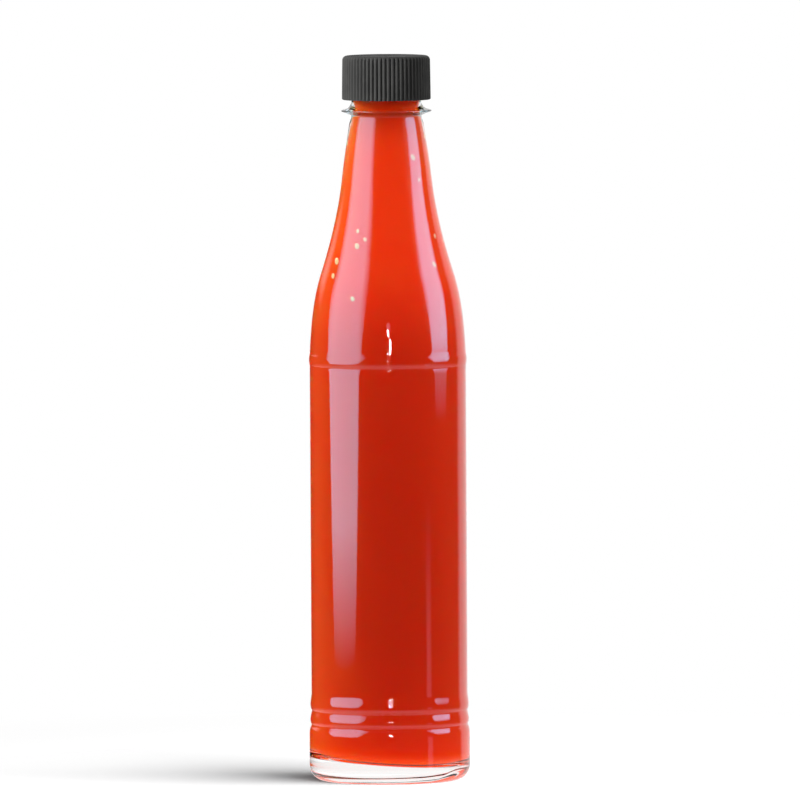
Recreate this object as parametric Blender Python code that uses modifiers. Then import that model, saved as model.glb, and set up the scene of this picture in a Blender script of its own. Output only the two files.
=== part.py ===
"""A slim glass bottle of smooth chilli sauce, closed with a ribbed plastic screw cap.

It stands on the ground with its axis on Z. The sizes below are in millimetres, the
model is in metres, and the camera side of the bottle is -Y.
"""

from math import cos, pi, radians, sin

import bmesh
import bpy

MM = 0.001
SEGMENTS = 40
FIT_GAP = 0.3

# Mouth, neck finish and transfer flange of the glass.
RIM_TOP = 202.3
RIM_ROUND = 0.8
RIM_FLARE = 0.75
BORE_RADIUS = 6.9
FINISH_RADIUS = 9.7
FLANGE_ROOT_TOP = 190.0
FLANGE_TOP_FILLET = 0.7
FLANGE_TIP_RADIUS = 12.7
FLANGE_TIP_HEIGHT = 188.6
FLANGE_TIP_THICKNESS = 0.5
FLANGE_UNDER_FILLET = 0.55
FLANGE_ROOT_BOTTOM = 186.9
FLANGE_ROOT_RADIUS = 9.9

# Thread of the finish and its mate inside the cap.
THREAD_PITCH = 3.175
THREAD_TURNS = 1.5
THREAD_LOW = 194.4
THREAD_START = 225.0
THREAD_BEAD = 1.1
THREAD_SINK = -0.35
THREAD_STEPS_PER_TURN = 24
THREAD_RUN_OUT_STEPS = 3
THREAD_END_SHARE = 0.2
CAP_THREAD_BEAD = 0.7
CAP_THREAD_TURNS = 1.25
CAP_THREAD_INSET = 0.15
CAP_THREAD_SINK = 0.4

# The swept neck and shoulder, as height, radius and flare (radius gained per mm going down).
SHOULDER_OUTSIDE = (
    (185.0, 10.5, 0.146),
    (170.0, 12.6, 0.11),
    (143.0, 18.66, 0.32),
    (122.0, 21.97, 0.0),
)
SHOULDER_INSIDE = (
    (188.0, BORE_RADIUS, 0.13),
    (170.0, 9.6, 0.135),
    (143.0, 16.06, 0.34),
    (121.0, 19.8, 0.0),
)
SHOULDER_STEP = 4.4

# The straight body with its shoulder bead, two low rings and heel.
BODY_RADIUS = 22.0
BEAD_TOP = 120.3
BEAD_BOTTOM = 117.0
BEAD_PROUD = 0.22
BEAD_STEP = 0.03
RING_TOP = 24.7
RING_SPLIT = 19.8
RING_BOTTOM = 15.7
RING_PROUD = 0.28
RING_SPLIT_PROUD = 0.05
RING_BOTTOM_PROUD = 0.15
HEEL_RADIUS = 22.6
HEEL_BAND_TOP = 14.7
HEEL_BAND_ROUND = 0.7
HEEL_BAND_STEP = 0.15
HEEL_ROUND = 4.5
FOOT_INNER_RADIUS = 16.6
FOOT_INNER_ROUND = 0.4
PUNT_RADIUS = 13.6
PUNT_EDGE_HEIGHT = 1.3
PUNT_HEIGHT = 2.0

# Inside of the glass and the sauce in it.
FLOOR_HEIGHT = 5.05
FLOOR_RADIUS = 19.5
FLOOR_ROUND = 6.0
FLOOR_LEAN = 0.069
LEAN_TOP = 26.0
INSIDE_RADIUS = 19.8
SAUCE_LEVEL = 198.3
MOUTH_CLEARANCE = 1.0

# The screw cap.
CAP_TOP = 204.1
CAP_BOTTOM = 191.7
CAP_RADIUS = 12.5
CAP_TAPER = 0.15
CAP_ROUND = 1.3
CAP_FOOT_ROUND = 0.3
CAP_RIBS = 64
RIB_DEPTH = 0.35
RIB_CREST = (0.26, 0.74)
CAP_BORE_RADIUS = 11.1
CAP_LAND_CHAMFER = 0.6
CAP_LEAD_IN = 0.4
SHARP_ANGLE = 40


def clear_scene():
    for obj in list(bpy.data.objects):
        bpy.data.objects.remove(obj, do_unlink=True)


def new_collection(name):
    collection = bpy.data.collections.new(name)
    bpy.context.scene.collection.children.link(collection)
    return collection


def principled(name, colour, roughness, transmission=0.0):
    material = bpy.data.materials.new(name)
    material.use_nodes = True
    material.diffuse_color = (*colour, 1.0)
    shader = material.node_tree.nodes["Principled BSDF"]
    shader.inputs["Base Color"].default_value = (*colour, 1.0)
    shader.inputs["Roughness"].default_value = roughness
    shader.inputs["Metallic"].default_value = 0.0
    shader.inputs["Transmission Weight"].default_value = transmission
    return material


def add_object(name, mesh, collection, material=None):
    obj = bpy.data.objects.new(name, mesh)
    collection.objects.link(obj)
    if material:
        mesh.materials.append(material)
    return obj


def as_cutter(obj):
    obj.hide_render = True
    obj.display_type = "WIRE"
    return obj


def arc(centre_radius, centre_height, radius, start, end, steps):
    """Profile points on an arc, with its angles in degrees from straight out, upwards positive."""
    points = []
    for step in range(steps + 1):
        angle = radians(start + (end - start) * step / steps)
        points.append((centre_radius + radius * cos(angle), centre_height + radius * sin(angle)))
    return points


def bulge(top, bottom, proud, steps):
    """Profile points of a low rounded ring that runs down from top to bottom, each (radius, height)."""
    points = []
    for step in range(steps + 1):
        share = step / steps
        radius = top[0] + (bottom[0] - top[0]) * share + proud * 4.0 * share * (1.0 - share)
        points.append((radius, top[1] + (bottom[1] - top[1]) * share))
    return points


def swept_radius(stations, height):
    """Radius at a height on the smooth curve through the stations (cubic Hermite pieces)."""
    for upper, lower in zip(stations, stations[1:]):
        if height >= lower[0]:
            break
    length = upper[0] - lower[0]
    share = (upper[0] - height) / length
    square, cube = share**2, share**3
    return (
        (2 * cube - 3 * square + 1) * upper[1]
        + (cube - 2 * square + share) * length * upper[2]
        + (3 * square - 2 * cube) * lower[1]
        + (cube - square) * length * lower[2]
    )


def swept_points(stations):
    top, bottom = stations[0][0], stations[-1][0]
    steps = round((top - bottom) / SHOULDER_STEP)
    heights = [top + (bottom - top) * step / steps for step in range(steps + 1)]
    return [(swept_radius(stations, height), height) for height in heights]


def turned(name, profile, collection, material=None):
    """A solid of revolution from a profile of (radius, height) points that runs down its outer side."""
    mesh = bpy.data.meshes.new(name)
    points = [(radius * MM, 0.0, height * MM) for radius, height in profile]
    edges = [(index, index + 1) for index in range(len(points) - 1)]
    mesh.from_pydata(points, edges, [])
    obj = add_object(name, mesh, collection, material)
    screw = obj.modifiers.new("Turn", "SCREW")
    screw.steps = SEGMENTS
    screw.render_steps = SEGMENTS
    screw.use_merge_vertices = True
    screw.merge_threshold = 0.00001
    return obj


def boolean(obj, other, operation):
    modifier = obj.modifiers.new(other.name, "BOOLEAN")
    modifier.object = other
    modifier.operation = operation
    modifier.solver = "EXACT"


def shade_smooth(mesh):
    mesh.shade_smooth()
    mesh.set_sharp_from_angle(angle=radians(SHARP_ANGLE))


def made_real(obj):
    """Replaces an object's mesh by the one that its modifiers make."""
    graph = bpy.context.evaluated_depsgraph_get()
    mesh = bpy.data.meshes.new_from_object(obj.evaluated_get(graph))
    obj.modifiers.clear()
    obj.data = mesh
    return mesh


def lean_floor(obj):
    """Tips the inner floor, as glass that settled to one side, and leaves the walls straight."""
    mesh = made_real(obj)
    flat_top = FLOOR_HEIGHT + FLOOR_ROUND
    for vertex in mesh.vertices:
        height = vertex.co.z / MM
        hold = min(max((LEAN_TOP - height) / (LEAN_TOP - flat_top), 0.0), 1.0)
        vertex.co.z -= FLOOR_LEAN * vertex.co.x * hold
    return obj


def helix_bead(name, bead, path_radius, low, start, turns, sink, collection):
    """A rounded thread ridge along a right-hand helix, which runs out into its wall at both ends."""
    steps = round(THREAD_STEPS_PER_TURN * turns)
    curve = bpy.data.curves.new(name, "CURVE")
    curve.dimensions = "3D"
    curve.bevel_depth = bead * MM
    curve.bevel_resolution = 2
    curve.use_fill_caps = True
    spline = curve.splines.new("POLY")
    spline.points.add(steps)
    for step, point in enumerate(spline.points):
        full = min(1.0, THREAD_END_SHARE + min(step, steps - step) / THREAD_RUN_OUT_STEPS)
        angle = radians(start) + 2 * pi * turns * step / steps
        radius = (path_radius + sink * (1.0 - full)) * MM
        height = (low + THREAD_PITCH * turns * step / steps) * MM
        point.co = (radius * cos(angle), radius * sin(angle), height, 1.0)
        point.radius = full
    source = add_object(name + "_path", curve, collection)
    graph = bpy.context.evaluated_depsgraph_get()
    mesh = bpy.data.meshes.new_from_object(source.evaluated_get(graph))
    bead_object = add_object(name, mesh, collection)
    bead_object.matrix_world = source.matrix_world
    bpy.data.objects.remove(source)
    weld = bmesh.new()
    weld.from_mesh(mesh)
    bmesh.ops.remove_doubles(weld, verts=weld.verts, dist=0.000001)
    bmesh.ops.recalc_face_normals(weld, faces=weld.faces)
    weld.to_mesh(mesh)
    weld.free()
    return as_cutter(bead_object)


def outside_profile():
    """Outer side of the glass, from the middle of the mouth down to the middle of the base."""
    points = [(0.0, RIM_TOP)]
    points += arc(FINISH_RADIUS - RIM_ROUND, RIM_TOP - RIM_ROUND, RIM_ROUND, 90, 0, 3)
    fillet = FLANGE_TOP_FILLET
    points += arc(FINISH_RADIUS + fillet, FLANGE_ROOT_TOP, fillet, 180, 250, 2)
    tip = FLANGE_TIP_THICKNESS / 2
    points += arc(FLANGE_TIP_RADIUS - tip, FLANGE_TIP_HEIGHT, tip, 70, -70, 2)
    under = FLANGE_UNDER_FILLET
    points += [(FLANGE_ROOT_RADIUS + under, FLANGE_ROOT_BOTTOM + under)]
    points += [(FLANGE_ROOT_RADIUS, FLANGE_ROOT_BOTTOM)]
    points += swept_points(SHOULDER_OUTSIDE)
    points += bulge((BODY_RADIUS, BEAD_TOP), (BODY_RADIUS - BEAD_STEP, BEAD_BOTTOM), BEAD_PROUD, 4)
    split = (BODY_RADIUS + RING_SPLIT_PROUD, RING_SPLIT)
    low = (BODY_RADIUS + RING_BOTTOM_PROUD, RING_BOTTOM)
    points += bulge((BODY_RADIUS, RING_TOP), split, RING_PROUD, 4)
    points += bulge(split, low, RING_PROUD, 4)[1:]
    points += [(HEEL_RADIUS - HEEL_BAND_STEP, HEEL_BAND_TOP)]
    points += [(HEEL_RADIUS - HEEL_BAND_STEP / 3, HEEL_BAND_TOP - HEEL_BAND_ROUND)]
    points += arc(HEEL_RADIUS - HEEL_ROUND, HEEL_ROUND, HEEL_ROUND, 0, -90, 6)
    points += [(FOOT_INNER_RADIUS, 0.0)]
    points += [(FOOT_INNER_RADIUS - 2 * FOOT_INNER_ROUND, FOOT_INNER_ROUND)]
    rise = PUNT_HEIGHT - PUNT_EDGE_HEIGHT
    points += [(PUNT_RADIUS, PUNT_EDGE_HEIGHT), (PUNT_RADIUS / 2, PUNT_HEIGHT - rise / 4)]
    points += [(0.0, PUNT_HEIGHT)]
    return points


def inside_profile(gap):
    """Inner side of the glass below the mouth, pulled in by a gap for what fills it."""
    points = [(radius - gap, height) for radius, height in swept_points(SHOULDER_INSIDE)]
    points += [(INSIDE_RADIUS - gap, LEAN_TOP)]
    corner = (FLOOR_RADIUS - FLOOR_ROUND, FLOOR_HEIGHT + FLOOR_ROUND)
    points += arc(*corner, FLOOR_ROUND - gap, 0, -90, 5)
    points += [(corner[0] / 2, FLOOR_HEIGHT + gap), (0.0, FLOOR_HEIGHT + gap)]
    return points


def make_bottle(collection, cutters):
    """Clear flint glass, blown in a mould: one shell that is open at the mouth."""
    glass = principled("clear_flint_glass", (0.90, 0.94, 0.92), 0.03, 1.0)
    bottle = turned("bottle", outside_profile(), collection, glass)
    mouth = [
        (0.0, RIM_TOP + MOUTH_CLEARANCE),
        (BORE_RADIUS + RIM_FLARE, RIM_TOP + MOUTH_CLEARANCE),
        (BORE_RADIUS + RIM_FLARE, RIM_TOP + RIM_FLARE / 3),
        (BORE_RADIUS + RIM_FLARE / 4, RIM_TOP - RIM_FLARE / 3),
        (BORE_RADIUS, RIM_TOP - RIM_FLARE),
    ]
    cavity = lean_floor(turned("cavity", mouth + inside_profile(0.0), cutters))
    as_cutter(cavity)
    thread = helix_bead(
        "glass_thread",
        THREAD_BEAD,
        FINISH_RADIUS,
        THREAD_LOW,
        THREAD_START,
        THREAD_TURNS,
        THREAD_SINK,
        cutters,
    )
    boolean(bottle, thread, "UNION")
    boolean(bottle, cavity, "DIFFERENCE")
    shade_smooth(made_real(bottle))
    return bottle


def make_sauce(collection):
    """Smooth red chilli sauce, which fills the bottle into the neck."""
    red = principled("chilli_sauce", (0.60, 0.022, 0.004), 0.25)
    surface = [(0.0, SAUCE_LEVEL), (BORE_RADIUS - FIT_GAP, SAUCE_LEVEL)]
    sauce = turned("sauce", surface + inside_profile(FIT_GAP), collection, red)
    shade_smooth(lean_floor(sauce).data)
    return sauce


def rib_outline():
    """Angles and radii round one level of the cap: a narrow groove, then a flat-topped rib."""
    outline = []
    for rib in range(CAP_RIBS):
        outline.append((2 * pi * rib / CAP_RIBS, CAP_RADIUS - RIB_DEPTH))
        for edge in RIB_CREST:
            outline.append((2 * pi * (rib + edge) / CAP_RIBS, CAP_RADIUS))
    return outline


def cap_levels():
    """Height of each level of the cap, and the radius that its ribs are held inside there."""
    top_radius = CAP_RADIUS - CAP_TAPER
    levels = [(CAP_BOTTOM, CAP_RADIUS - CAP_FOOT_ROUND), (CAP_BOTTOM + CAP_FOOT_ROUND, CAP_RADIUS)]
    for radius, height in arc(top_radius - CAP_ROUND, CAP_TOP - CAP_ROUND, CAP_ROUND, 0, 90, 4):
        levels.append((height, radius))
    return levels


def ribbed_block(name, collection, material):
    """The cap's solid outer form: its ribbed outline, extruded level by level and rounded over."""
    outline = rib_outline()
    form = bmesh.new()
    face = form.faces.new([form.verts.new((cos(turn), sin(turn), 0.0)) for turn, _ in outline])
    for level, (height, limit) in enumerate(cap_levels()):
        if level:
            below = face
            grown = bmesh.ops.extrude_face_region(form, geom=[face])["geom"]
            face = next(item for item in grown if isinstance(item, bmesh.types.BMFace))
            if level > 1:
                form.faces.remove(below)
        taper = CAP_TAPER * (height - CAP_BOTTOM) / (CAP_TOP - CAP_BOTTOM)
        for vertex, (turn, radius) in zip(face.verts, outline):
            reach = min(radius - taper, limit) * MM
            vertex.co = (reach * cos(turn), reach * sin(turn), height * MM)
    bmesh.ops.recalc_face_normals(form, faces=form.faces)
    mesh = bpy.data.meshes.new(name)
    form.to_mesh(mesh)
    form.free()
    return add_object(name, mesh, collection, material)


def make_cap(collection, cutters):
    """Moulded black plastic, ribbed for grip, hollow underneath with its own thread ridge."""
    black = principled("black_moulded_plastic", (0.035, 0.035, 0.035), 0.55)
    cap = ribbed_block("cap", collection, black)
    land = RIM_TOP + FIT_GAP
    hollow_profile = [
        (0.0, land),
        (CAP_BORE_RADIUS - CAP_LAND_CHAMFER, land),
        (CAP_BORE_RADIUS, land - CAP_LAND_CHAMFER),
        (CAP_BORE_RADIUS, CAP_BOTTOM + CAP_LEAD_IN),
        (CAP_BORE_RADIUS + CAP_LEAD_IN, CAP_BOTTOM - CAP_LEAD_IN),
        (0.0, CAP_BOTTOM - CAP_LEAD_IN),
    ]
    hollow = as_cutter(turned("cap_hollow", hollow_profile, cutters))
    ridge = helix_bead(
        "cap_thread",
        CAP_THREAD_BEAD,
        CAP_BORE_RADIUS + CAP_THREAD_INSET,
        THREAD_LOW - THREAD_PITCH / 2,
        THREAD_START,
        CAP_THREAD_TURNS,
        CAP_THREAD_SINK,
        cutters,
    )
    boolean(cap, hollow, "DIFFERENCE")
    boolean(cap, ridge, "UNION")
    shade_smooth(made_real(cap))
    return cap


def main():
    clear_scene()
    collection = new_collection("woozy_bottle")
    cutters = new_collection("cutters")
    make_bottle(collection, cutters)
    make_sauce(collection)
    make_cap(collection, cutters)


main()
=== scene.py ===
import random
from math import atan, atan2, cos, degrees, pi, radians, sin

import bmesh
import bpy
from mathutils import Matrix, Vector


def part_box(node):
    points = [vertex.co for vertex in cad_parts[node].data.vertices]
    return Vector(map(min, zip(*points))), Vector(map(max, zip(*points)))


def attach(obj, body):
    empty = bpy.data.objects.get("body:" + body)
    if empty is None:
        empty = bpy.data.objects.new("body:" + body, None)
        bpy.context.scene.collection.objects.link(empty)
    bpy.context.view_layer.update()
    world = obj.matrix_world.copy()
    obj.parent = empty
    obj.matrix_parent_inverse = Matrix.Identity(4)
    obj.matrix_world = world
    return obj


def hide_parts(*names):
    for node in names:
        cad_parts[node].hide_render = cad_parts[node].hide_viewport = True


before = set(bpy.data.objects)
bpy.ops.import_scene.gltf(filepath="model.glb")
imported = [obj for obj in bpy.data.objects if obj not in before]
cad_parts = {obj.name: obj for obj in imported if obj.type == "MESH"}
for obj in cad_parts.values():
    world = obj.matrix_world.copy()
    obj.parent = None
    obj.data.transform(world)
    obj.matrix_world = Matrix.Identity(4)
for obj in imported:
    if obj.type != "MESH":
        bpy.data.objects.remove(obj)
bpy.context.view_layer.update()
MM = 0.001

# The glass bottle. Clear flint glass, blown in a two-part steel mould and fire-polished, so
# its skin is smooth but not dead true. One shell: rolled mouth, screw finish, transfer
# flange, swept neck, a bead under the shoulder, two low rings and a heavy clear base.
GLASS_SEGMENTS = 224
GLASS_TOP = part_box("bottle")[1].z / MM
HEEL_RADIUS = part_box("bottle")[1].x / MM
BODY_RADIUS = HEEL_RADIUS - 0.6
BORE_RADIUS = 6.9
MOUTH_ROUND = 0.75
RIM_ROUND = 0.8

FINISH_RADIUS = 9.7
FINISH_DROP = 1.2
FINISH_LENGTH = 8.1
FINISH_ROWS = 28
THREAD_PITCH = 3.175
THREAD_LOW = 194.4
THREAD_TURNS = 1.5
THREAD_START = 225.0
THREAD_PROUD = 0.75
THREAD_HALF = 0.95
THREAD_RUN_OUT = 0.12

# Sizes are in mm. A station of a curve is its height, its radius and what the radius gains for
# each mm further down. A ring's ends, and other single points, are a radius and a height.
FLANGE_RADIUS = 12.7
FLANGE_HEIGHT = 188.6
FLANGE_EDGE = 0.25
FLANGE_ROOT = ((192.4, FINISH_RADIUS + 0.02, 0.06), (190.0, 10.3, 0.62), (189.3, 11.0, 1.6))
FLANGE_BACK = (11.7, 189.08)
FLANGE_UNDER = (10.55, 186.95)
FLANGE_UNDER_ROUND = 0.62

NECK_FOOT = (186.6, 9.94, 0.16)
NECK_OUTSIDE = ((185.0, 10.5, 0.146), (170.0, 12.6, 0.11), (143.0, 18.66, 0.32), (121.5, 21.94, 0.05))
NECK_INSIDE = ((188.0, BORE_RADIUS, 0.13), (170.0, 9.6, 0.135), (143.0, 16.06, 0.34), (121.0, 19.8, 0.0))
BEAD = ((BODY_RADIUS - 0.02, 120.3), (BODY_RADIUS - 0.03, 117.0))
BEAD_PROUD = 0.25
BODY_ROWS = (116.7, 115.5, 100.0, 85.0, 70.0, 55.0, 40.0, 27.0, 25.0, 24.7)
UPPER_RING = ((BODY_RADIUS, 24.4), (BODY_RADIUS - 0.05, 19.9))
LOWER_RING = ((BODY_RADIUS - 0.05, 19.6), (BODY_RADIUS + 0.02, 15.9))
RING_PROUD = 0.36
RING_FULLNESS = 0.7

HEEL_BAND_TOP = 13.2
HEEL_BAND_ROUND = (0.7, 2.3)
HEEL_ROWS = (12.0, 9.0, 6.0)
HEEL_ROUND = 4.5
BEARING_RING = (17.8, 17.0, 16.6)
KNURLS_FROM, KNURLS_TO = 16.9, 17.9
KNURL_SEGMENTS = 4
KNURL_DEPTH = 0.35
HOLLOW_EDGE = (13.9, 0.2)
HOLLOW_ROUND = (2.2, 1.15)
HOLLOW_ROOF = ((10.0, 1.65), (6.0, 1.9), (3.0, 1.98), (0.0, 2.0))

INSIDE_RADIUS = 19.8
INSIDE_ROWS = (100.0, 75.0, 50.0)
FLOOR_HEIGHT = 5.05
FLOOR_CORNER_RADIUS = 13.5
FLOOR_CORNER_ROUND = 6.0
FLOOR_LEAN = 0.069
LEAN_TOP = 26.0
LEAN_BOTTOM = 3.5


def arc(centre, size, start, end, steps):
    """Points on an arc or ellipse of a profile; degrees from straight out, upwards positive."""
    wide, high = size if isinstance(size, tuple) else (size, size)
    turns = [radians(start + (end - start) * step / steps) for step in range(steps + 1)]
    return [(centre[0] + wide * cos(turn), centre[1] + high * sin(turn)) for turn in turns]


def swept(stations, step):
    """Points down a smooth curve through (height, radius, radius gained per mm) stations."""
    points = []
    for upper, lower in zip(stations, stations[1:]):
        length = upper[0] - lower[0]
        count = round(length / step)
        for index in range(count + (lower is stations[-1])):
            share = index / count
            radius = (
                (2 * share**3 - 3 * share**2 + 1) * upper[1]
                + (share**3 - 2 * share**2 + share) * length * upper[2]
                + (3 * share**2 - 2 * share**3) * lower[1]
                + (share**3 - share**2) * length * lower[2]
            )
            points.append((radius, upper[0] - share * length))
    return points


def bulge(ends, proud, steps, sag=1.0):
    """A low full ring from one profile point down to another; sag above 1 puts its crest lower."""
    top, bottom = ends
    points = []
    for step in range(steps + 1):
        share = step / steps
        radius = top[0] + (bottom[0] - top[0]) * share + proud * sin(pi * share**sag) ** RING_FULLNESS
        points.append((radius, top[1] + (bottom[1] - top[1]) * share))
    return points


def inside_wall(out):
    """The inner wall from below the mouth to the middle of the floor, moved out by a distance."""
    points = [(radius + out, height) for radius, height in swept(NECK_INSIDE, 2.0)]
    points += [(INSIDE_RADIUS + out, height) for height in INSIDE_ROWS + (LEAN_TOP,)]
    corner = (FLOOR_CORNER_RADIUS, FLOOR_HEIGHT + FLOOR_CORNER_ROUND)
    points += arc(corner, FLOOR_CORNER_ROUND + out, 0, -90, 14)
    points += [(FLOOR_CORNER_RADIUS * share, FLOOR_HEIGHT - out) for share in (0.75, 0.5, 0.25, 0.0)]
    return points


def outside_wall():
    """The outer wall from the mouth to the middle of the base."""
    finish_rows = [FINISH_DROP + FINISH_LENGTH * row / FINISH_ROWS for row in range(FINISH_ROWS + 1)]
    points = [(FINISH_RADIUS, GLASS_TOP - drop) for drop in finish_rows]
    points += swept(FLANGE_ROOT, 0.15) + [FLANGE_BACK]
    points += arc((FLANGE_RADIUS - FLANGE_EDGE, FLANGE_HEIGHT), FLANGE_EDGE, 72, -72, 10)
    points += arc(FLANGE_UNDER, FLANGE_UNDER_ROUND, 118, 180, 6)
    points += swept((NECK_FOOT,) + NECK_OUTSIDE, 1.25)
    points += bulge(BEAD, BEAD_PROUD, 20)
    points += [(BODY_RADIUS, height) for height in BODY_ROWS]
    points += bulge(UPPER_RING, RING_PROUD, 22, 1.6)
    points += bulge(LOWER_RING, RING_PROUD, 20, 1.5)
    points += arc((HEEL_RADIUS - HEEL_BAND_ROUND[0], HEEL_BAND_TOP), HEEL_BAND_ROUND, 62, 0, 10)
    points += [(HEEL_RADIUS, height) for height in HEEL_ROWS]
    points += arc((HEEL_RADIUS - HEEL_ROUND, HEEL_ROUND), HEEL_ROUND, 0, -90, 16)
    points += [(radius, 0.0) for radius in BEARING_RING]
    points += arc(HOLLOW_EDGE, HOLLOW_ROUND, 0, 90, 8)
    return points + list(HOLLOW_ROOF)


def spun(profile, segments):
    """Spins a profile of (radius, height) points in mm, with both ends on the axis, to a closed form."""
    form = bmesh.new()
    line = [form.verts.new((radius * MM, 0.0, height * MM)) for radius, height in profile]
    edges = [form.edges.new(pair) for pair in zip(line, line[1:])]
    bmesh.ops.spin(
        form,
        geom=line + edges,
        cent=(0.0, 0.0, 0.0),
        axis=(0.0, 0.0, 1.0),
        angle=2 * pi,
        steps=segments,
        use_merge=True,
    )
    bmesh.ops.remove_doubles(form, verts=form.verts, dist=1e-7)
    bmesh.ops.recalc_face_normals(form, faces=form.faces)
    return form


def finished(name, form, node=None, sharp=None):
    """Turns a bmesh into the named piece, shaded smooth, riding on the bottle's one body."""
    mesh = bpy.data.meshes.new(name)
    form.to_mesh(mesh)
    form.free()
    mesh.shade_smooth()
    if sharp:
        mesh.set_sharp_from_angle(angle=radians(sharp))
    piece = bpy.data.objects.new(name, mesh)
    bpy.context.scene.collection.objects.link(piece)
    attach(piece, "root")
    if node:
        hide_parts(node)
    return piece


def lean_floor(form, inner):
    """Tips the inner floor, deeper on the right, and fades out up the wall."""
    flat_top = FLOOR_HEIGHT + FLOOR_CORNER_ROUND
    for vertex in form.verts:
        if not inner(vertex.co):
            continue
        height = vertex.co.z / MM
        hold = min(max((LEAN_TOP - height) / (LEAN_TOP - flat_top), 0.0), 1.0)
        vertex.co.z -= FLOOR_LEAN * vertex.co.x * hold


def thread_rise(place, low, turns, start):
    """How much of a thread's ridge stands at a point: 1 on its crest, 0 beside it and past its ends."""
    height = place.z / MM
    behind = (degrees(atan2(place.y, place.x)) - start) % 360.0 / 360.0
    best = 0.0
    for lap in range(2):
        turn = behind + lap
        off = abs(height - low - THREAD_PITCH * turn)
        ends = min(turn, turns - turn) / THREAD_RUN_OUT
        best = max(best, min(max(1.0 - (off / THREAD_HALF) ** 2, 0.0), max(ends, 0.0)))
    return best


def linear(code):
    """A shader colour from an sRGB hex code."""
    parts = [int(code[index : index + 2], 16) / 255 for index in (1, 3, 5)]
    curve = [part / 12.92 if part <= 0.04045 else ((part + 0.055) / 1.055) ** 2.4 for part in parts]
    return curve + [1.0]


def add_node(tree, kind, inputs=None, **settings):
    """Adds a shader node, sets its options and its inputs, and links an input given as a socket."""
    node = tree.nodes.new(kind)
    for name, value in settings.items():
        setattr(node, name, value)
    for name, value in (inputs or {}).items():
        if isinstance(value, bpy.types.NodeSocket):
            tree.links.new(value, node.inputs[name])
        else:
            node.inputs[name].default_value = value
    return node


def new_material(name):
    """An empty material with its tree, its Principled shader, and the object's own coordinates."""
    material = bpy.data.materials.new(name)
    material.use_nodes = True
    tree = material.node_tree
    place = add_node(tree, "ShaderNodeTexCoord").outputs["Object"]
    return material, tree, tree.nodes["Principled BSDF"], place


mouth = arc((BORE_RADIUS + MOUTH_ROUND, GLASS_TOP - MOUTH_ROUND), MOUTH_ROUND, 180, 90, 6)
rim = arc((FINISH_RADIUS - RIM_ROUND, GLASS_TOP - RIM_ROUND), RIM_ROUND, 90, 0, 7)
inner_line = list(reversed(inside_wall(0.0))) + [(BORE_RADIUS, 195.0)]
glass_form = spun(inner_line + mouth + rim + outside_wall(), GLASS_SEGMENTS)
lean_floor(
    glass_form,
    lambda co: co.z > LEAN_BOTTOM * MM and Vector(co.xy).length < (INSIDE_RADIUS + 0.1) * MM,
)
for vertex in glass_form.verts:
    radius = Vector(vertex.co.xy).length / MM
    segment = round(atan2(vertex.co.y, vertex.co.x) / (2 * pi) * GLASS_SEGMENTS)
    on_bearing_ring = vertex.co.z < 1e-6 and KNURLS_FROM < radius < KNURLS_TO
    if on_bearing_ring and segment % KNURL_SEGMENTS < KNURL_SEGMENTS / 2:
        vertex.co.z += KNURL_DEPTH * MM
    if abs(radius - FINISH_RADIUS) < 0.01:
        along = thread_rise(vertex.co, THREAD_LOW, THREAD_TURNS, THREAD_START)
        vertex.co.xy *= 1.0 + THREAD_PROUD * along / FINISH_RADIUS
glass = finished("bottle_glass", glass_form, "bottle")

# Clear flint glass: colourless and mirror smooth. Blowing leaves long faint waves in it, which
# are stronger in the shoulder and neck, where it was drawn out, and bend the lights' reflections.
WAVE_LENGTH = 14.3
WAVE_DEPTH = 0.3
WAVE_STRETCH = 0.35
DRAWN_FROM, DRAWN_TO = 112.0, 122.0
glass_material, tree, shader, place = new_material("clear_flint_glass")
shader.inputs["Base Color"].default_value = linear("#fbfdfc")
shader.inputs["Roughness"].default_value = 0.0
shader.inputs["IOR"].default_value = 1.52
shader.inputs["Transmission Weight"].default_value = 1.0
stretched = add_node(tree, "ShaderNodeMapping", {"Vector": place, "Scale": (1.0, 1.0, WAVE_STRETCH)})
wave = add_node(
    tree,
    "ShaderNodeTexNoise",
    {"Vector": stretched.outputs[0], "Scale": 1 / (WAVE_LENGTH * MM), "Detail": 1.0},
)
height = add_node(tree, "ShaderNodeSeparateXYZ", {0: place}).outputs["Z"]
drawn = add_node(
    tree,
    "ShaderNodeMapRange",
    {"Value": height, "From Min": DRAWN_FROM * MM, "From Max": DRAWN_TO * MM, "To Min": 0.1, "To Max": 0.3},
)
waves = add_node(
    tree,
    "ShaderNodeBump",
    {"Height": wave.outputs[0], "Strength": drawn.outputs[0], "Distance": WAVE_DEPTH * MM},
)
tree.links.new(waves.outputs[0], shader.inputs["Normal"])
glass.data.materials.append(glass_material)
glass.visible_shadow = False
glass.visible_diffuse = False

# The sauce. A smooth, opaque puree of red chilli in vinegar, filled hot up into the neck.
# It wets the glass all round, so its skin lies just inside the wall's inner face.
SAUCE_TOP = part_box("sauce")[1].z / MM
SAUCE_SEGMENTS = 160
WETTING = 0.06
surface = [(0.0, SAUCE_TOP), (BORE_RADIUS * 0.5, SAUCE_TOP), (BORE_RADIUS + WETTING, SAUCE_TOP)]
sauce_form = spun(surface + inside_wall(WETTING), SAUCE_SEGMENTS)
lean_floor(sauce_form, lambda co: True)
sauce = finished("sauce_fill", sauce_form, "sauce", 60)

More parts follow.
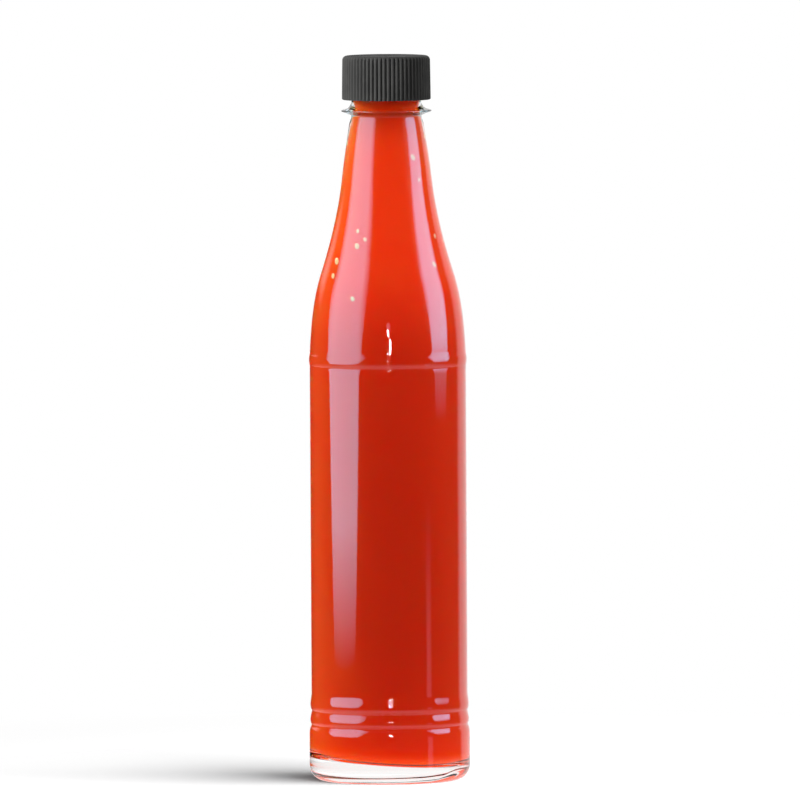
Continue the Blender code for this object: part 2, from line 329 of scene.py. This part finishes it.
# Red chilli puree: light goes deep into it and comes out red. High up it has thinned to an
# orange liquor, which lets more light through, and near the clear base light gets in from below.
# High up its colour also turns a little more orange: partly the thinner liquor, partly a painted
# glow of the light that shines through the thin neck.
CLOUD_WIDTH = 11.1
CLOUD_HEIGHT = 12.0
THIN_FROM, THIN_TO = 125.0, 160.0
BASE_LIT_FROM, BASE_LIT_TO = 26.0, 8.0
LIGHT_REACH = 30.0
sauce_material, tree, shader, place = new_material("red_chilli_puree")
height = add_node(tree, "ShaderNodeSeparateXYZ", {0: place}).outputs["Z"]
cloud = add_node(
    tree, "ShaderNodeTexNoise", {"Vector": place, "Scale": 1 / (CLOUD_WIDTH * MM), "Detail": 3.0}
)
uneven = add_node(
    tree,
    "ShaderNodeMapRange",
    {
        "Value": cloud.outputs[0],
        "From Min": 0.3,
        "From Max": 0.7,
        "To Min": -CLOUD_HEIGHT * MM,
        "To Max": CLOUD_HEIGHT * MM,
    },
)
level = add_node(tree, "ShaderNodeMath", {0: height, 1: uneven.outputs[0]})
thinned_and_painted_glow = add_node(
    tree,
    "ShaderNodeMapRange",
    {"Value": level.outputs[0], "From Min": THIN_FROM * MM, "From Max": THIN_TO * MM},
    interpolation_type="SMOOTHSTEP",
)
# Partly painted glow: the colour is a little more orange high up, where light shines through the thin neck.
tone = add_node(
    tree,
    "ShaderNodeMix",
    {0: thinned_and_painted_glow.outputs[0], 6: linear("#fd4818"), 7: linear("#fd501b")},
    data_type="RGBA",
)
tree.links.new(tone.outputs[2], shader.inputs["Base Color"])
shader.inputs["Roughness"].default_value = 0.5
shader.inputs["IOR"].default_value = 1.12
shader.inputs["Specular IOR Level"].default_value = 0.0
shader.inputs["Subsurface Weight"].default_value = 1.0
sunk = add_node(
    tree,
    "ShaderNodeMapRange",
    {"Value": height, "From Min": BASE_LIT_FROM * MM, "From Max": BASE_LIT_TO * MM},
)
thin = add_node(tree, "ShaderNodeMath", {0: thinned_and_painted_glow.outputs[0], 1: sunk.outputs[0]}, operation="MAXIMUM")
reach = add_node(
    tree,
    "ShaderNodeMix",
    {0: thin.outputs[0], 4: (1.0, 0.12, 0.05), 5: (1.0, 0.5, 0.09)},
    data_type="VECTOR",
)
tree.links.new(reach.outputs[1], shader.inputs["Subsurface Radius"])
shader.inputs["Subsurface Scale"].default_value = LIGHT_REACH * MM
shader.inputs["Subsurface Anisotropy"].default_value = 0.85
# Glass bends light more than the sauce does, so their joint mirrors what meets it at a low angle.
slant = add_node(tree, "ShaderNodeFresnel", {"IOR": 1.345 / 1.52})
gleam = add_node(tree, "ShaderNodeBsdfGlossy", {"Color": linear("#ffffff"), "Roughness": 0.02})
joint = add_node(
    tree, "ShaderNodeMixShader", {0: slant.outputs[0], 1: shader.outputs[0], 2: gleam.outputs[0]}
)
tree.links.new(joint.outputs[0], tree.nodes["Material Output"].inputs["Surface"])
sauce.data.materials.append(sauce_material)

# Chilli seeds and scraps of pale pulp that lie pressed against the glass, in the skin of the
# sauce. Most of them have risen into the neck and shoulder. Each one's row is its azimuth in
# degrees from the camera's side, right positive, its height and its length.
SEED_PROUD = 0.7
SEED_TILT = 40.0
SEED_WIDTH, SEED_THICKNESS, SEED_HEIGHT = 0.55, 0.12, 0.8
seeds_in_view = (
    (-60.4, 146.3, 1.5),
    (-59.9, 142.2, 1.2),
    (-35.3, 150.8, 1.3),
    (-26.2, 152.7, 0.9),
    (-37.3, 155.0, 0.9),
    (-31.2, 136.3, 1.1),
    (55.4, 169.2, 0.9),
    (67.8, 153.1, 1.0),
    (53.5, 145.4, 1.3),
    (47.9, 175.5, 1.3),
)
# The sides and the back have more, strewn by chance: most high up and a few in the body.
OUT_OF_VIEW = (85.0, 285.0)
SEEDS_TOP, SHOULDER_FOOT, SEEDS_FOOT = 188.0, 120.0, 30.0
HIGH_SEEDS, LOW_SEEDS = 34, 9
HIGH_LENGTHS, LOW_LENGTHS = (0.7, 1.5), (0.6, 1.1)
CROWDING = 0.8
draw = random.Random(7)
strewn = [
    (
        draw.uniform(*OUT_OF_VIEW),
        SEEDS_TOP - (SEEDS_TOP - SHOULDER_FOOT) * draw.random() ** CROWDING,
        draw.uniform(*HIGH_LENGTHS),
    )
    for _ in range(HIGH_SEEDS)
]
strewn += [
    (draw.uniform(*OUT_OF_VIEW), draw.uniform(SEEDS_FOOT, SHOULDER_FOOT), draw.uniform(*LOW_LENGTHS))
    for _ in range(LOW_SEEDS)
]


def wall_at(height):
    """Radius of the inner wall at a height, and how much it gains for each mm further down."""
    wall = inside_wall(WETTING)
    above, below = next(pair for pair in zip(wall, wall[1:]) if pair[1][1] <= height <= pair[0][1])
    share = (above[1] - height) / (above[1] - below[1])
    return above[0] + (below[0] - above[0]) * share, (below[0] - above[0]) / (above[1] - below[1])


seed_form = bmesh.new()
for azimuth, height, length in seeds_in_view + tuple(strewn):
    radius, gain = wall_at(height)
    thickness = SEED_THICKNESS * length
    sunk_in = thickness * (1.0 - SEED_PROUD)
    around = Matrix.Rotation(radians(azimuth), 4, "Z")
    at_wall = Matrix.Translation((0.0, -radius * MM, height * MM))
    along_wall = Matrix.Rotation(-atan(gain), 4, "X") @ Matrix.Translation((0.0, sunk_in * MM, 0.0))
    tilt = Matrix.Rotation(radians(draw.uniform(-SEED_TILT, SEED_TILT)), 4, "Y")
    size = Matrix.Diagonal((SEED_WIDTH * length * MM, thickness * MM, SEED_HEIGHT * length * MM, 1.0))
    lie = around @ at_wall @ along_wall @ tilt @ size
    bmesh.ops.create_icosphere(seed_form, subdivisions=2, radius=1.0, matrix=lie)
seeds = finished("chilli_seeds", seed_form)

# Wet chilli seed: pale cream, stained orange in patches by the sauce.
STAIN_WIDTH = 1.43
seed_material, tree, shader, place = new_material("wet_chilli_seed")
stain = add_node(
    tree, "ShaderNodeTexNoise", {"Vector": place, "Scale": 1 / (STAIN_WIDTH * MM), "Detail": 1.0}
)
tone = add_node(
    tree,
    "ShaderNodeMix",
    {0: stain.outputs[0], 6: linear("#ff9a58"), 7: linear("#ffdcba")},
    data_type="RGBA",
)
tree.links.new(tone.outputs[2], shader.inputs["Base Color"])
shader.inputs["Roughness"].default_value = 0.5
shader.inputs["Specular IOR Level"].default_value = 0.0
seeds.data.materials.append(seed_material)

# The cap. Black polypropylene, injection moulded with fine grip ribs and a plain flat top,
# and screwed down on the glass finish until its foot stands just above the flange.
CAP_LOW, CAP_HIGH = (corner.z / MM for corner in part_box("cap"))
CAP_RADIUS = 12.5
CAP_BORE = 11.1
CAP_CEILING = 202.6
CAP_THREAD = 0.45
CAP_THREAD_TURNS = 1.25
CAP_EDGE_ROUND = 1.3
BORE_ROWS = 24
RIBS = 64
RIB_POINTS = 8
RIB_DEPTH = 0.55
RIB_SHARPNESS = 2.6
SIDE_TAPER = 0.15
DISH_DEPTH = 0.15
GATE_DEPTH = 0.35
turns = [2 * pi * index / (RIBS * RIB_POINTS) for index in range(RIBS * RIB_POINTS)]


def rib_radius(turn):
    """Radius of the ribbed side: rounded ridges with narrower grooves between them."""
    phase = (turn * RIBS / (2 * pi)) % 1.0
    return CAP_RADIUS - RIB_DEPTH * abs(cos(pi * phase)) ** RIB_SHARPNESS


def thread_reach(turn, height):
    """Radius of the bore, with the ridge of its thread, which sits under the thread on the glass."""
    place = Vector((cos(turn), sin(turn), height * MM))
    low = THREAD_LOW - THREAD_PITCH / 2
    return CAP_BORE - CAP_THREAD * thread_rise(place, low, CAP_THREAD_TURNS, THREAD_START)


# From the middle of the ceiling down the bore, round the foot, up the ribbed side and in across
# the top to the gate mark: each level's height, its radius, and what shapes it if it isn't round.
bore_top, bore_foot = CAP_CEILING - 0.6, CAP_LOW + 0.4
bore_drops = [(bore_foot - bore_top) * row / BORE_ROWS for row in range(BORE_ROWS + 1)]
levels = [(CAP_CEILING, 6.0, None), (CAP_CEILING, CAP_BORE - 0.6, None)]
levels += [(bore_top + drop, None, thread_reach) for drop in bore_drops]
levels += [(CAP_LOW, CAP_BORE + 0.3, None), (CAP_LOW, CAP_RADIUS - 0.42, rib_radius)]
levels += [(CAP_LOW + 0.08, CAP_RADIUS - 0.2, rib_radius), (CAP_LOW + 0.3, CAP_RADIUS, rib_radius)]
levels += [(CAP_LOW + 4.0, CAP_RADIUS, rib_radius), (CAP_LOW + 8.0, CAP_RADIUS, rib_radius)]
edge_centre = (CAP_RADIUS - CAP_EDGE_ROUND - SIDE_TAPER, CAP_HIGH - CAP_EDGE_ROUND)
levels += [(height, radius, rib_radius) for radius, height in arc(edge_centre, CAP_EDGE_ROUND, 0, 90, 9)]
levels += [(CAP_HIGH, 10.4, None), (CAP_HIGH - DISH_DEPTH * 0.4, 10.25, None)]
levels += [(CAP_HIGH - DISH_DEPTH, radius, None) for radius in (10.1, 5.0, 1.3)]
levels += [(CAP_HIGH - GATE_DEPTH, 1.1, None)]
cap_form = bmesh.new()
face = cap_form.faces.new([cap_form.verts.new((cos(turn), sin(turn), 0.0)) for turn in turns])
for level, (height, limit, side) in enumerate(levels):
    if level:
        below = face
        grown = bmesh.ops.extrude_face_region(cap_form, geom=[face])["geom"]
        face = next(item for item in grown if isinstance(item, bmesh.types.BMFace))
        if level > 1:
            cap_form.faces.remove(below)
    taper = SIDE_TAPER * (height - CAP_LOW) / (CAP_HIGH - CAP_LOW)
    for vertex, turn in zip(face.verts, turns):
        if side is thread_reach:
            reach = thread_reach(turn, height)
        elif side is rib_radius:
            reach = min(rib_radius(turn) - taper, limit)
        else:
            reach = limit
        vertex.co = (reach * MM * cos(turn), reach * MM * sin(turn), height * MM)
bmesh.ops.recalc_face_normals(cap_form, faces=cap_form.faces)
cap = finished("cap_shell", cap_form, "cap", 50)

# Black moulded polypropylene: a charcoal that is slightly uneven, with a spark-eroded grain,
# so it is dull and shows hardly any gloss. The grain is drawn coarser than it is, to show.
GRAIN_WIDTH = 0.4
GRAIN_DEPTH = 0.04
MOTTLE_WIDTH = 4.55
cap_material, tree, shader, place = new_material("black_moulded_polypropylene")
grain = add_node(
    tree, "ShaderNodeTexNoise", {"Vector": place, "Scale": 1 / (GRAIN_WIDTH * MM), "Detail": 3.0}
)
cloud = add_node(
    tree, "ShaderNodeTexNoise", {"Vector": place, "Scale": 1 / (MOTTLE_WIDTH * MM), "Detail": 2.0}
)
mottle = add_node(
    tree,
    "ShaderNodeMix",
    {0: cloud.outputs[0], 6: linear("#282828"), 7: linear("#3b3b3a")},
    data_type="RGBA",
)
tree.links.new(mottle.outputs[2], shader.inputs["Base Color"])
polish = add_node(tree, "ShaderNodeMapRange", {"Value": grain.outputs[0], "To Min": 0.45, "To Max": 0.7})
tree.links.new(polish.outputs[0], shader.inputs["Roughness"])
shader.inputs["Specular IOR Level"].default_value = 0.08
pits = add_node(
    tree, "ShaderNodeBump", {"Height": grain.outputs[0], "Strength": 0.35, "Distance": GRAIN_DEPTH * MM}
)
tree.links.new(pits.outputs[0], shader.inputs["Normal"])
cap.data.materials.append(cap_material)

# The floor: a plain white table top, lit by a lamp of its own, so that the bottle's shadow lies
# on it. It fades into the white room a little way out, and glows under the bottle's clear base.
FLOOR_RADIUS = 1.6
WHITE_FROM, WHITE_TO = 0.14, 0.26
SPILL_FROM, SPILL_TO = 0.02, 0.05
SPILL = 1.35
floor_form = bmesh.new()
bmesh.ops.create_circle(floor_form, cap_ends=True, segments=96, radius=FLOOR_RADIUS)
floor_mesh = bpy.data.meshes.new("floor")
floor_form.to_mesh(floor_mesh)
floor_form.free()
floor = bpy.data.objects.new("floor", floor_mesh)
bpy.context.scene.collection.objects.link(floor)
floor_material, tree, shader, place = new_material("white_table")
tree.nodes.remove(shader)
away = add_node(tree, "ShaderNodeVectorMath", {0: place}, operation="LENGTH").outputs["Value"]
lit = add_node(tree, "ShaderNodeBsdfDiffuse", {"Color": linear("#595959")})
low_white = add_node(tree, "ShaderNodeEmission", {"Color": linear("#ffffff"), "Strength": 0.04})
table = add_node(tree, "ShaderNodeAddShader", {0: lit.outputs[0], 1: low_white.outputs[0]})
white = add_node(tree, "ShaderNodeEmission", {"Color": linear("#ffffff"), "Strength": 1.0})
edge = add_node(tree, "ShaderNodeMapRange", {"Value": away, "From Min": WHITE_FROM, "From Max": WHITE_TO})
seen = add_node(
    tree, "ShaderNodeMixShader", {0: edge.outputs[0], 1: table.outputs[0], 2: white.outputs[0]}
)
spill = add_node(
    tree,
    "ShaderNodeMapRange",
    {"Value": away, "From Min": SPILL_FROM, "From Max": SPILL_TO, "To Min": SPILL, "To Max": 0.0},
)
under = add_node(tree, "ShaderNodeEmission", {"Color": linear("#ffffff"), "Strength": spill.outputs[0]})
path = add_node(tree, "ShaderNodeLightPath")
looked_at = add_node(
    tree,
    "ShaderNodeMath",
    {0: path.outputs["Is Camera Ray"], 1: path.outputs["Is Transmission Ray"]},
    operation="MAXIMUM",
)
shown = add_node(
    tree, "ShaderNodeMixShader", {0: looked_at.outputs[0], 1: under.outputs[0], 2: seen.outputs[0]}
)
tree.links.new(shown.outputs[0], tree.nodes["Material Output"].inputs["Surface"])
floor.data.materials.append(floor_material)
floor.visible_glossy = False

# The white room. What the camera sees of it is plain white. What the gloss mirrors is mostly
# dark, with a white sweep behind on the right, a white wall above a dark screen behind on the
# left, a white ceiling and the lit table, which the bottle shades at its own foot.

# Sides are in degrees to the right of straight behind the bottle, and heights are how far a
# direction points up. Each pair is where a change begins and where it is complete.
SWEEP_LEFT = (-16.0, -8.0)
SWEEP_RIGHT = (58.0, 50.0)
WALL_LEFT = (-56.0, -44.0)
SCREEN_TOP = (0.06, 0.16)
CEILING = (0.62, 0.8)
TABLE = (-0.15, -0.35)
BOTTLE_SHADE = (-0.6, -0.85)
BOTTLE_SHADE_LEFT_OVER = 0.4
DARK, BRIGHT = 0.015, 0.95
world = bpy.data.worlds.new("studio")
bpy.context.scene.world = world
world.use_nodes = True
tree = world.node_tree
background = tree.nodes["Background"]
path = add_node(tree, "ShaderNodeLightPath")
direction = add_node(tree, "ShaderNodeTexCoord").outputs["Generated"]
split = add_node(tree, "ShaderNodeSeparateXYZ", {0: direction})
up = split.outputs["Z"]
turn = add_node(
    tree, "ShaderNodeMath", {0: split.outputs["X"], 1: split.outputs["Y"]}, operation="ARCTAN2"
)
bearing = add_node(tree, "ShaderNodeMath", {0: turn.outputs[0], 1: 180 / pi}, operation="MULTIPLY").outputs[0]
from_left = add_node(
    tree, "ShaderNodeMapRange", {"Value": bearing, "From Min": SWEEP_LEFT[0], "From Max": SWEEP_LEFT[1]}
)
to_right = add_node(
    tree, "ShaderNodeMapRange", {"Value": bearing, "From Min": SWEEP_RIGHT[0], "From Max": SWEEP_RIGHT[1]}
)
sweep = add_node(
    tree, "ShaderNodeMath", {0: from_left.outputs[0], 1: to_right.outputs[0]}, operation="MULTIPLY"
)
ceiling = add_node(tree, "ShaderNodeMapRange", {"Value": up, "From Min": CEILING[0], "From Max": CEILING[1]})
wall = add_node(
    tree, "ShaderNodeMapRange", {"Value": bearing, "From Min": WALL_LEFT[0], "From Max": WALL_LEFT[1]}
)
above = add_node(
    tree, "ShaderNodeMapRange", {"Value": up, "From Min": SCREEN_TOP[0], "From Max": SCREEN_TOP[1]}
)
left_wall = add_node(tree, "ShaderNodeMath", {0: wall.outputs[0], 1: above.outputs[0]}, operation="MULTIPLY")
on_left = add_node(tree, "ShaderNodeMath", {0: bearing, 1: 0.0}, operation="LESS_THAN")
behind = add_node(
    tree, "ShaderNodeMath", {0: left_wall.outputs[0], 1: on_left.outputs[0]}, operation="MULTIPLY"
)
walls = add_node(tree, "ShaderNodeMath", {0: sweep.outputs[0], 1: behind.outputs[0]}, operation="MAXIMUM")
bright = add_node(tree, "ShaderNodeMath", {0: walls.outputs[0], 1: ceiling.outputs[0]}, operation="MAXIMUM")
room = add_node(
    tree, "ShaderNodeMapRange", {"Value": bright.outputs[0], "To Min": DARK, "To Max": BRIGHT}
)
down = add_node(tree, "ShaderNodeMapRange", {"Value": up, "From Min": TABLE[0], "From Max": TABLE[1]})
shade = add_node(
    tree,
    "ShaderNodeMapRange",
    {
        "Value": up,
        "From Min": BOTTLE_SHADE[0],
        "From Max": BOTTLE_SHADE[1],
        "To Min": 1.0,
        "To Max": BOTTLE_SHADE_LEFT_OVER,
    },
)
table = add_node(tree, "ShaderNodeMath", {0: down.outputs[0], 1: shade.outputs[0]}, operation="MULTIPLY")
mirrored = add_node(tree, "ShaderNodeMath", {0: room.outputs[0], 1: table.outputs[0]}, operation="MAXIMUM")

# What lights the sauce through the glass: strong daylight from the left behind the bottle, and
# less from the right. What stands outside the glass gets a plain soft light from all round.
LEFT_REAR = (-0.8, 0.6, 0.0)
RIGHT_REAR = (0.8, 0.6, 0.0)
LEFT_EDGE = 0.25
LEFT_DIM, LEFT_FULL = 0.1, 4.0
RIGHT_FULL = 1.9
OUTSIDE_GLOW = 0.5
inside = add_node(
    tree, "ShaderNodeMath", {0: path.outputs["Transmission Depth"], 1: 0.5}, operation="GREATER_THAN"
).outputs[0]
leftward = add_node(
    tree, "ShaderNodeVectorMath", {0: direction, 1: LEFT_REAR}, operation="DOT_PRODUCT"
).outputs["Value"]
rightward = add_node(
    tree, "ShaderNodeVectorMath", {0: direction, 1: RIGHT_REAR}, operation="DOT_PRODUCT"
).outputs["Value"]
left_glow = add_node(
    tree,
    "ShaderNodeMapRange",
    {"Value": leftward, "From Min": LEFT_EDGE, "From Max": 1.0, "To Min": LEFT_DIM, "To Max": LEFT_FULL},
)
right_glow = add_node(
    tree,
    "ShaderNodeMapRange",
    {"Value": rightward, "From Min": 0.0, "From Max": 1.0, "To Min": 0.0, "To Max": RIGHT_FULL},
)
glow = add_node(tree, "ShaderNodeMath", {0: left_glow.outputs[0], 1: right_glow.outputs[0]})
around = add_node(
    tree, "ShaderNodeMix", {0: inside, 2: OUTSIDE_GLOW, 3: glow.outputs[0]}, data_type="FLOAT"
)
glossy = path.outputs["Is Glossy Ray"]
unseen_strength = add_node(
    tree, "ShaderNodeMix", {0: glossy, 2: around.outputs[0], 3: mirrored.outputs[0]}, data_type="FLOAT"
)
seen = add_node(
    tree,
    "ShaderNodeMath",
    {0: path.outputs["Is Camera Ray"], 1: path.outputs["Is Transmission Ray"]},
    operation="MAXIMUM",
)
mirrored_inside = add_node(tree, "ShaderNodeMath", {0: glossy, 1: inside}, operation="MULTIPLY")
clear = add_node(
    tree, "ShaderNodeMath", {0: seen.outputs[0], 1: mirrored_inside.outputs[0]}, operation="MAXIMUM"
)
strength = add_node(
    tree, "ShaderNodeMix", {0: clear.outputs[0], 2: unseen_strength.outputs[0], 3: 1.0}, data_type="FLOAT"
)
tree.links.new(strength.outputs[0], background.inputs["Strength"])
# The daylight from the left is cool: stronger than white in green and blue, weaker in red.
COOL_DAYLIGHT = (0.92, 1.85, 1.6, 1.0)
COOL_FULL = 0.7
sight = add_node(tree, "ShaderNodeMath", {0: clear.outputs[0], 1: glossy}, operation="MAXIMUM")
unseen = add_node(tree, "ShaderNodeMath", {0: 1.0, 1: sight.outputs[0]}, operation="SUBTRACT")
far_left = add_node(
    tree, "ShaderNodeMapRange", {"Value": leftward, "From Min": LEFT_EDGE, "From Max": COOL_FULL}
)
on_sauce = add_node(tree, "ShaderNodeMath", {0: far_left.outputs[0], 1: inside}, operation="MULTIPLY")
cool = add_node(tree, "ShaderNodeMath", {0: unseen.outputs[0], 1: on_sauce.outputs[0]}, operation="MULTIPLY")
daylight = add_node(
    tree,
    "ShaderNodeMix",
    {0: cool.outputs[0], 6: linear("#ffffff"), 7: COOL_DAYLIGHT},
    data_type="RGBA",
)
tree.links.new(daylight.outputs[2], background.inputs["Color"])


# The lamps. Softboxes at both sides, which give the long bands on the glass, narrow front
# lights for the sparks on the shoulder and rings, and others for the table, sauce or cap alone.
def softbox(name, azimuth, distance, low, high, width, radiance, colour, fade=None, shape="RECTANGLE"):
    """A studio light; azimuth in degrees from the camera's side, right positive, sizes in metres.

    With fade, a height where it is dark and one where it is full, its sides are soft too.
    """
    lamp = bpy.data.lights.new(name, "AREA")
    lamp.shape = shape
    lamp.size = width
    lamp.size_y = high - low
    lamp.energy = radiance * width * (high - low) * (4.0 if shape == "RECTANGLE" else pi)
    lamp.color = linear(colour)[:3]
    lamp.use_nodes = True
    if fade:
        tree = lamp.node_tree
        spot = add_node(tree, "ShaderNodeNewGeometry").outputs["Parametric"]
        across = add_node(tree, "ShaderNodeSeparateXYZ", {0: spot})
        dark, full = ((level - low) / (high - low) for level in fade)
        rise = add_node(
            tree, "ShaderNodeMapRange", {"Value": across.outputs["Y"], "From Min": dark, "From Max": full}
        )
        off = add_node(tree, "ShaderNodeMath", {0: across.outputs["X"], 1: 0.5}, operation="SUBTRACT")
        away = add_node(tree, "ShaderNodeMath", {0: off.outputs[0]}, operation="ABSOLUTE")
        sides = add_node(
            tree, "ShaderNodeMapRange", {"Value": away.outputs[0], "From Min": 0.5, "From Max": 0.3}
        )
        glow = add_node(
            tree, "ShaderNodeMath", {0: rise.outputs[0], 1: sides.outputs[0]}, operation="MULTIPLY"
        )
        tree.links.new(glow.outputs[0], tree.nodes["Emission"].inputs["Strength"])
    light = bpy.data.objects.new(name, lamp)
    turn = radians(azimuth)
    light.location = (distance * sin(turn), -distance * cos(turn), (low + high) / 2)
    light.rotation_euler = (pi / 2, 0.0, turn)
    light.visible_camera = False
    bpy.context.scene.collection.objects.link(light)
    return light


def hung(light, place, aim):
    """Moves a light to a place and turns it to face another."""
    turned = (Vector(place) - Vector(aim)).to_track_quat("Z", "Y").to_matrix().to_4x4()
    light.matrix_world = Matrix.Translation(place) @ turned


def lights_only(light, *pieces):
    """Keeps a light to some pieces."""
    receivers = bpy.data.collections.new(light.name + "_only")
    for piece in pieces:
        receivers.objects.link(piece)
    light.light_linking.receiver_collection = receivers


# Each row: name, azimuth, distance, low and high edge, width, radiance, colour, fade, outline.
mirrored_lamps = (
    ("softbox_left", -69.0, 0.6, -0.07, 1.11, 0.88, 4.9, "#86e0ff", (-0.01, 0.035), "ELLIPSE"),
    ("softbox_right", 84.0, 0.6, 0.02, 1.02, 0.5, 6.3, "#94dcff", (0.068, 0.15), "ELLIPSE"),
    ("front_light_high", 0.2, 1.5, 0.265, 0.315, 0.04, 130.0, "#ffffff"),
    ("front_light_low", 3.8, 1.5, 0.165, 0.25, 0.035, 130.0, "#ffffff"),
    ("spark_low", 0.3, 1.5, 0.122, 0.132, 0.035, 110.0, "#ffffff"),
    ("front_haze", 1.0, 1.5, 0.29, 0.38, 0.16, 2.5, "#ffd0e0", None, "ELLIPSE"),
    ("low_strip", 60.0, 0.6, -0.08, 0.05, 0.1, 0.8, "#f0e4ff", (0.045, -0.03)),
)
for row in mirrored_lamps:
    lamp = softbox(*row)
    lamp.visible_diffuse = False
    lights_only(lamp, glass, sauce)
table_light = softbox("table_light", 0.0, 0.0, 0.0, 0.55, 0.55, 140.0, "#ffffff")
hung(table_light, (0.28, -0.21, 1.16), (0.0, 0.0, 0.0))
lights_only(table_light, floor)
overhead = softbox("overhead", 0.0, 0.3, 0.0, 0.3, 0.5, 6.6, "#ffffff")
hung(overhead, (0.0, -0.3, 0.75), (0.0, -0.3, 0.65))
lights_only(overhead, sauce, seeds)
neck_fill = softbox("neck_fill", 0.0, 0.06, 0.185, 0.215, 0.03, 1.7, "#ffffff")
lights_only(neck_fill, sauce, seeds)
cap_light = softbox("cap_light", -58.0, 0.6, 0.0, 0.4, 0.2, 36.0, "#ffffff")
cap_fill = softbox("cap_fill", 70.0, 0.6, 0.0, 0.4, 0.4, 5.5, "#ffffff")
for lamp in (cap_light, cap_fill):
    lights_only(lamp, cap)
for lamp in (table_light, overhead, neck_fill, cap_light, cap_fill):
    lamp.visible_glossy = False

# The camera: a long lens, a little above the cap and tipped down, with a slight roll.
CAMERA_DISTANCE = 5.0
CAMERA_HEIGHT = 0.3927
TARGET_HEIGHT = 0.1071
CAMERA_SIDE = 0.0034
CAMERA_ROLL = -0.3
FIELD = 0.2247
camera_data = bpy.data.cameras.new("camera")
camera = bpy.data.objects.new("camera", camera_data)
bpy.context.scene.collection.objects.link(camera)
bpy.context.scene.camera = camera
camera_data.sensor_width = 36.0
camera_data.lens = camera_data.sensor_width * CAMERA_DISTANCE / FIELD
camera_data.clip_end = 50.0
station = Vector((CAMERA_SIDE, -CAMERA_DISTANCE, CAMERA_HEIGHT))
target = Vector((CAMERA_SIDE, 0.0, TARGET_HEIGHT))
aim = (target - station).to_track_quat("-Z", "Y").to_matrix().to_4x4()
roll = Matrix.Rotation(radians(CAMERA_ROLL), 4, "Z")
camera.matrix_world = Matrix.Translation(station) @ aim @ roll
bpy.context.scene.view_settings.view_transform = "Standard"
